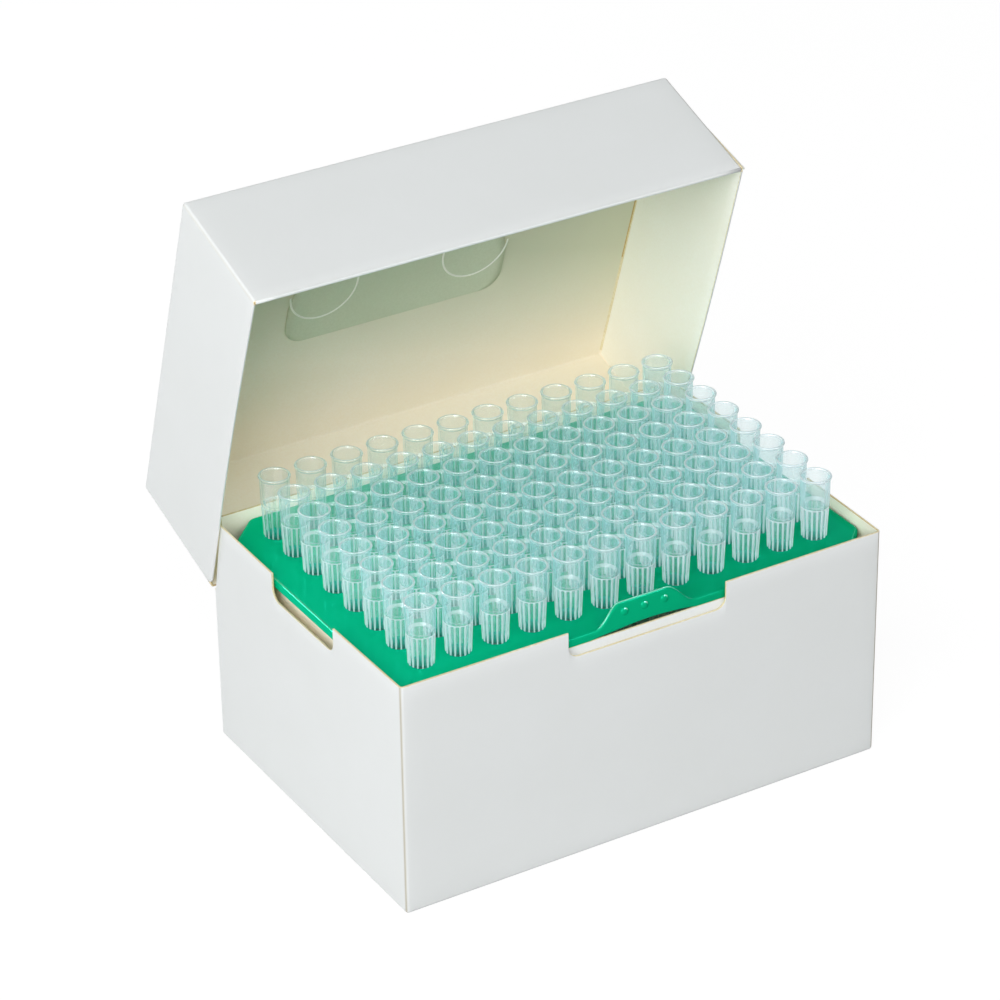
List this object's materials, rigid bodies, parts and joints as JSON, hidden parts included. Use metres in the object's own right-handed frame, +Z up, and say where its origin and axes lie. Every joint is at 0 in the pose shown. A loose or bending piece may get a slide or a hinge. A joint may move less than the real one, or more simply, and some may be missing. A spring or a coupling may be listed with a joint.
{
  "type": "box of pipette tips",
  "caption": "Folded card box with a hinged lid, holding a moulded tray of clear pipette tips on a card liner.",
  "frame": {"origin": "centre of the carton's underside, on the table", "axes": "+X along the long side, to the right of someone facing the open box; +Y towards the lid's crease; +Z up"},
  "size_m": [0.1218, 0.1151, 0.1311],
  "materials": {
    "board": null,
    "liner_board": null,
    "tray_plastic": "green moulded polypropylene, satin",
    "tip_plastic": "clear moulded polypropylene, glossy"
  },
  "bodies": {
    "box": {"carton": "board", "liner": "liner_board", "tray": "tray_plastic", "tips_column_01": "tip_plastic", "tips_column_02": "tip_plastic", "tips_column_03": "tip_plastic", "tips_column_04": "tip_plastic", "tips_column_05": "tip_plastic", "tips_column_06": "tip_plastic", "tips_column_07": "tip_plastic", "tips_column_08": "tip_plastic", "tips_column_09": "tip_plastic", "tips_column_10": "tip_plastic", "tips_column_11": "tip_plastic", "tips_column_12": "tip_plastic"},
    "lid": {"lid": "board"}
  },
  "joints": [
    {"name": "lid_hinge", "type": "hinge", "parent": "box", "child": "lid", "pos_m": [0, 0.0419, 0.0384], "axis": [-1, 0, 0], "range_deg": [-71.4, 103.6]}
  ]
}
